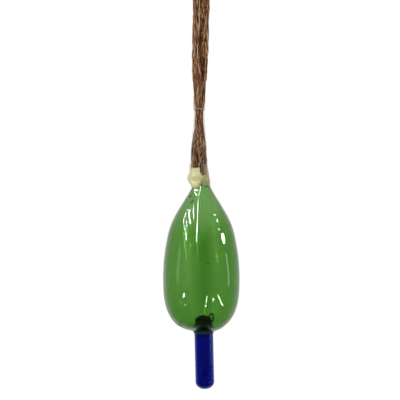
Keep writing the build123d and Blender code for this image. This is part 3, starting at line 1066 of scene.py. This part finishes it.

# ---- Spirit: a thin column from its foot in the reservoir up to its top ----
COLUMN_RADIUS = 0.25
COLUMN_STEP = 0.5
COLUMN_LEAN = 0.0001  # metres, from the column's middle to its foot and to its top
column_low, column_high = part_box("spirit_column")
column_x = (column_low.x + column_high.x) / 2
column_foot = Vector((column_x + COLUMN_LEAN, 0.0, column_low.z)) / MM
column_top = Vector((column_x - COLUMN_LEAN, 0.0, column_high.z)) / MM
column_line, _ = resampled(np.array([column_foot, column_top]), COLUMN_STEP)
column = Build()
column.tube(column_line, np.full(len(column_line), COLUMN_RADIUS), 16, 0.5)
spirit = column.piece("spirit_thread", DRESSED["spirit_reservoir"].copy())
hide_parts("spirit_column")
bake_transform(spirit)

# ---- World: white straight through the glass, dimmer in front and behind for reflections ----
world = bpy.data.worlds.new("world")
bpy.context.scene.world = world
world.use_nodes = True
tree = world.node_tree
tree.nodes.clear()


def grey(level):
    return (level, level, level)


def background(colour):
    """The world in a colour, which may be a socket."""
    made = node(tree, "ShaderNodeBackground")
    feed(tree, colour, made.inputs["Color"])
    return made.outputs[0]


where = node(tree, "ShaderNodeTexCoord")
parts = node(tree, "ShaderNodeSeparateXYZ")
tree.links.new(where.outputs["Generated"], parts.inputs[0])
BEHIND = [(0.0, grey(0.05)), (0.5, grey(0.28)), (0.9, grey(0.55))]
ABOVE = [(0.45, grey(0.0)), (0.95, grey(0.65))]
behind, above = ramp(tree, parts.outputs["Y"], BEHIND), ramp(tree, parts.outputs["Z"], ABOVE)
mirrored = background(mixed(tree, 1.0, behind, above, "ADD"))
lighting, white = background(grey(0.72)), background(grey(1.0))
path = node(tree, "ShaderNodeLightPath").outputs
reflected = maths(tree, "GREATER_THAN", path["Glossy Depth"], 0.5)
scattered = maths(tree, "ADD", path["Glossy Depth"], path["Diffuse Depth"])
seen = maths(tree, "ADD", path["Is Camera Ray"], path["Is Transmission Ray"], clamp=True)
straight = maths(tree, "MULTIPLY", seen, maths(tree, "LESS_THAN", scattered, 0.5))
unseen_world = shader_mix(tree, reflected, lighting, mirrored)
output = node(tree, "ShaderNodeOutputWorld")
tree.links.new(shader_mix(tree, straight, unseen_world, white), output.inputs[0])

# ---- Lights: thin strips that draw lines on the glass, and one soft key light (metres) ----
LIGHT_MIDDLE = Vector((0.0, 0.0, -0.24))
FAR, NEAR = 1.5, 1.05


def towards(azimuth, elevation):
    """A direction from the float: azimuth 0 is the front, minus is the left."""
    a, e = math.radians(azimuth), math.radians(elevation)
    return Vector((math.sin(a) * math.cos(e), -math.cos(a) * math.cos(e), math.sin(e)))


def strip(name, start, end, width, strength, distance=FAR, shape="RECTANGLE"):
    """A light between two directions (azimuth, elevation), with an angular width in degrees."""
    one = LIGHT_MIDDLE + towards(*start) * distance
    two = LIGHT_MIDDLE + towards(*end) * distance
    data = bpy.data.lights.new(name, "AREA")
    data.shape = shape
    data.size = math.radians(width) * distance
    data.size_y = (two - one).length
    data.energy = strength * data.size * data.size_y * math.pi
    light = linked(name, data)
    middle = (one + two) / 2
    facing = (LIGHT_MIDDLE - middle).normalized()
    across = (two - one).normalized().cross(-facing).normalized()
    turned = Matrix((across, (-facing).cross(across), -facing)).transposed()
    light.matrix_world = Matrix.Translation(middle) @ turned.to_4x4()
    light.visible_diffuse = False
    light.visible_camera = False


STRIPS = [
    ("left_a", (-97, 44.4), (-80, 35.5), 1.2, 110),
    ("left_a_mid", (-73, 32.5), (-70, 31), 1.4, 60),
    ("left_a_ring", (-66, 29.5), (-63, 28), 2.4, 50),
    ("left_a_low", (-61, 26), (-53, 20), 1.0, 50),
    ("left_b", (-74, 42), (-60, 33), 1.1, 100),
    ("left_c", (-80, 49.8), (-66, 47), 1.2, 110),
    ("left_c_low", (-66, 47), (-50, 39), 1.3, 110),
    ("left_d", (-64, 55.4), (-46, 50), 1.1, 100),
    ("front_e_high", (-36, 62.5), (-18, 53), 1.0, 65),
    ("front_e_mid", (-18, 53), (-16, 42), 1.2, 75),
    ("front_e", (-16, 41), (-15, 30), 2.6, 80),
    ("front_e_foot", (-18, 26), (-16, 21), 1.6, 50),
    ("right_arc", (80, 46), (84, 44), 1.0, 40),
    ("right_high", (86, 39), (79, 36.5), 1.3, 70),
    ("right_mid", (85, 33.5), (84, 32.5), 2.0, 60),
    ("right_low", (75, 28), (74, 26.5), 2.2, 50),
]
# Glints on the lower belly come from below, nearer in
GLINTS = [
    ("glint_line", (17, -14), (12, -35), 1.0, 60),
    ("glint_dot", (41, -17), (40, -22), 1.6, 45),
    ("glint_slant", (53, -12), (78, -25), 1.1, 40),
    ("glint_left", (-58, -11), (-56, -15), 3.6, 45),
    ("glint_left_dot", (-54, -27.5), (-53.5, -30), 2.0, 50),
]
for values in STRIPS:
    strip(*values)
for values in GLINTS:
    strip(*values, NEAR)
strip("right_window", (81, 21), (81, 15), 7.0, 75, shape="ELLIPSE")
strip("right_panel", (84, 11), (88, -5), 6.0, 2.4)
strip("left_panel", (-74, 16), (-76, -4), 13.0, 0.5, shape="ELLIPSE")

key_data = bpy.data.lights.new("key", "AREA")
key_data.shape = "DISK"
key_data.size = 1.2
key_data.energy = 14.0
key = linked("key", key_data)
key.location = (-1.0, -1.6, 0.9)
key.rotation_euler = (LIGHT_MIDDLE - key.location).to_track_quat("-Z", "Y").to_euler()
key.visible_glossy = False
key.visible_transmission = False

# ---- Floor: well below the hanging object (metres) ----
FLOOR_Z = -1.0
FLOOR_HALF = 3.0
corners = [(sx * FLOOR_HALF, sy * FLOOR_HALF) for sx, sy in ((-1, -1), (1, -1), (1, 1), (-1, 1))]
floor_mesh = bpy.data.meshes.new("floor")
floor_mesh.from_pydata([(x, y, FLOOR_Z) for x, y in corners], [], [(0, 1, 2, 3)])
floor = linked("floor", floor_mesh)
paper, paper_tree, paper_shader = material("floor_paper")
paper_colour = ramp(
    paper_tree,
    object_noise(paper_tree, 3.0),
    [(0.3, (0.91, 0.91, 0.90)), (0.7, (0.93, 0.93, 0.92))],
)
paper_tree.links.new(paper_colour, paper_shader.inputs["Base Color"])
paper_shader.inputs["Roughness"].default_value = 0.9
# The floor stays out of reflections, which show the room instead
paper_path = node(paper_tree, "ShaderNodeLightPath").outputs
in_mirror = maths(paper_tree, "GREATER_THAN", paper_path["Glossy Depth"], 0.5)
nothing = node(paper_tree, "ShaderNodeBsdfTransparent").outputs[0]
paper_shown = shader_mix(paper_tree, in_mirror, paper_shader.outputs[0], nothing)
paper_tree.links.new(paper_shown, paper_tree.nodes["Material Output"].inputs["Surface"])
floor_mesh.materials.append(paper)

bpy.context.view_layer.update()
